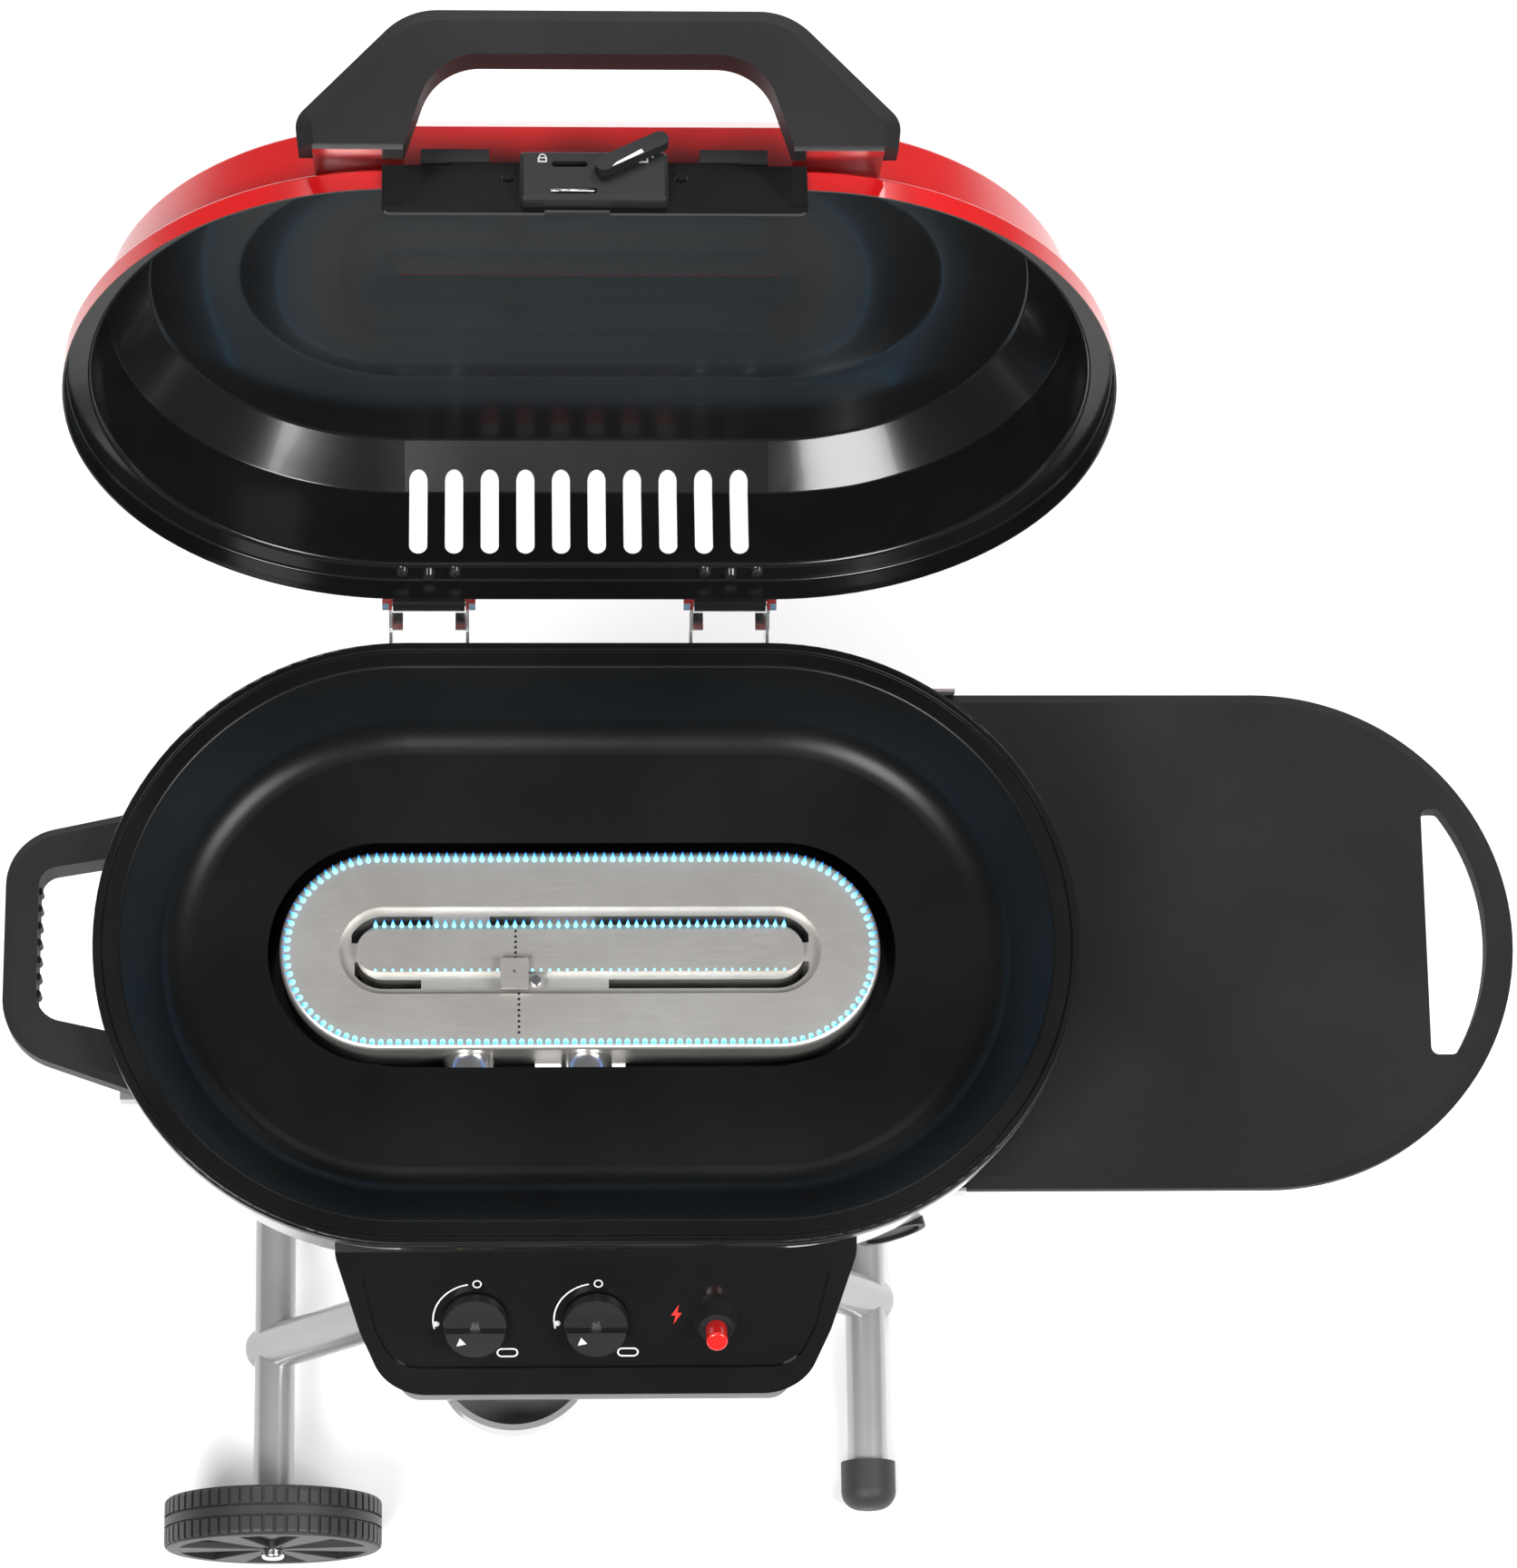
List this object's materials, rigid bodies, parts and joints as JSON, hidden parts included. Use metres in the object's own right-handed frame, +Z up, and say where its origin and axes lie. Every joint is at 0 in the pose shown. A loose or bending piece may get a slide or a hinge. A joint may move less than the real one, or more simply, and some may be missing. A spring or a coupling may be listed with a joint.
{
  "type": "stand-up gas grill",
  "caption": "Oval gas grill with hinged lid, sliding side table and front knobs on a folding wheeled stand.",
  "frame": {"origin": "on the floor, under the middle of the whole grill's box, lid open and table out", "axes": "+X to the side table, +Y to the hinges at the back, +Z up"},
  "size_m": [0.9408, 0.7132, 1.1445],
  "materials": {
    "red_lid": "gloss",
    "silver_paint": "semi-gloss",
    "black_enamel": "satin",
    "black_gloss": "gloss",
    "burner_steel": "satin",
    "bright_steel": "polished",
    "black_plastic": "matte",
    "table_plastic": "matte",
    "knob_plastic": "satin",
    "red_plastic": "gloss",
    "rubber": "matte",
    "tyre": "matte",
    "brass": "satin",
    "ceramic": "gloss"
  },
  "bodies": {
    "firebox": {"bowl": "black_enamel", "outer_shell": "silver_paint", "burner_top": "burner_steel", "burner_body": "burner_steel", "venturis": "bright_steel", "electrode_cover": "burner_steel", "electrode": "ceramic", "electrode_screw": "bright_steel", "valve_left": "brass", "valve_right": "brass", "manifold": "bright_steel", "drip_cup": "silver_paint", "cup_hanger": "bright_steel", "inlet_port": "black_plastic", "control_panel": "black_gloss", "panel_pan": "silver_paint", "igniter_bezel": "black_plastic", "igniter_module": "black_plastic", "carry_handle": "black_plastic", "hinge_plates": "bright_steel", "hinge_bolts": "bright_steel", "table_rail_front": "silver_paint", "table_rail_rear": "silver_paint", "carriers": "silver_paint", "leg_tracks": "silver_paint", "pivot_brackets": "black_plastic"},
    "lid": {"lid_shell": "red_lid", "lid_handle": "black_plastic", "handle_brackets": "bright_steel", "latch_plate": "black_gloss", "latch_rivets": "black_gloss", "latch_housing": "black_plastic", "latch_supports": "black_plastic", "hinge_leaf_left": "black_gloss", "hinge_leaf_right": "black_gloss", "hinge_screws": "bright_steel"},
    "latch": {"latch_lever": "black_plastic"},
    "left_knob": {"knob_left": "knob_plastic", "valve_stem_left": "bright_steel"},
    "right_knob": {"knob_right": "knob_plastic", "valve_stem_right": "bright_steel"},
    "igniter": {"igniter_button": "red_plastic"},
    "table": {"side_table": "table_plastic"},
    "wheel_frame": {"wheel_leg_front": "silver_paint", "wheel_leg_rear": "silver_paint", "wheel_floor_tube": "silver_paint", "wheel_top_tube": "silver_paint", "scissor_bolts": "bright_steel", "axle": "bright_steel", "axle_caps": "bright_steel"},
    "foot_frame": {"foot_leg_front": "silver_paint", "foot_leg_rear": "silver_paint", "foot_floor_tube": "silver_paint", "foot_top_tube": "silver_paint", "foot_caps": "rubber"},
    "front_wheel": {"wheel_front": "tyre"},
    "rear_wheel": {"wheel_rear": "tyre"}
  },
  "joints": [
    {"name": "lid_hinge", "type": "hinge", "parent": "firebox", "child": "lid", "pos_m": [-0.1146, 0.14185, 0.722], "axis": [1, 0, 0], "range_deg": [0, 108]},
    {"name": "latch_swivel", "type": "hinge", "parent": "lid", "child": "latch", "pos_m": [-0.1076, 0.26737, 1.12125], "axis": [0, 0.309, 0.9511], "range_deg": [0, 110]},
    {"name": "left_knob_turn", "type": "hinge", "parent": "firebox", "child": "left_knob", "pos_m": [-0.1834, -0.2935, 0.65587], "axis": [0, -0.6895, 0.7243], "range_deg": [-135, 0]},
    {"name": "right_knob_turn", "type": "hinge", "parent": "firebox", "child": "right_knob", "pos_m": [-0.1102, -0.2935, 0.65587], "axis": [0, -0.6895, 0.7243], "range_deg": [-135, 0]},
    {"name": "igniter_press", "type": "slide", "parent": "firebox", "child": "igniter", "axis": [0, 0.6895, -0.7243], "range_m": [0, 0.006], "stiffness_N_per_m": 900},
    {"name": "table_slide", "type": "slide", "parent": "firebox", "child": "table", "axis": [-1, 0, 0], "range_m": [0, 0.275]},
    {"name": "stand_fold", "type": "hinge", "parent": "firebox", "child": "wheel_frame", "pos_m": [-0.0159, -0.07015, 0.565], "axis": [0, 1, 0], "range_deg": [0, 49.5]},
    {"name": "scissor_fold", "type": "hinge", "parent": "wheel_frame", "child": "foot_frame", "pos_m": [-0.1345, -0.07015, 0.379], "axis": [0, 1, 0], "range_deg": [-99, 0]},
    {"name": "front_wheel_spin", "type": "hinge", "parent": "wheel_frame", "child": "front_wheel", "pos_m": [-0.3276, -0.33215, 0.076], "axis": [0, 1, 0], "continuous": true},
    {"name": "rear_wheel_spin", "type": "hinge", "parent": "wheel_frame", "child": "rear_wheel", "pos_m": [-0.3276, 0.19185, 0.076], "axis": [0, 1, 0], "continuous": true}
  ],
  "couplings": [
    {"joint": "scissor_fold", "follows": "stand_fold", "ratio": -2}
  ]
}
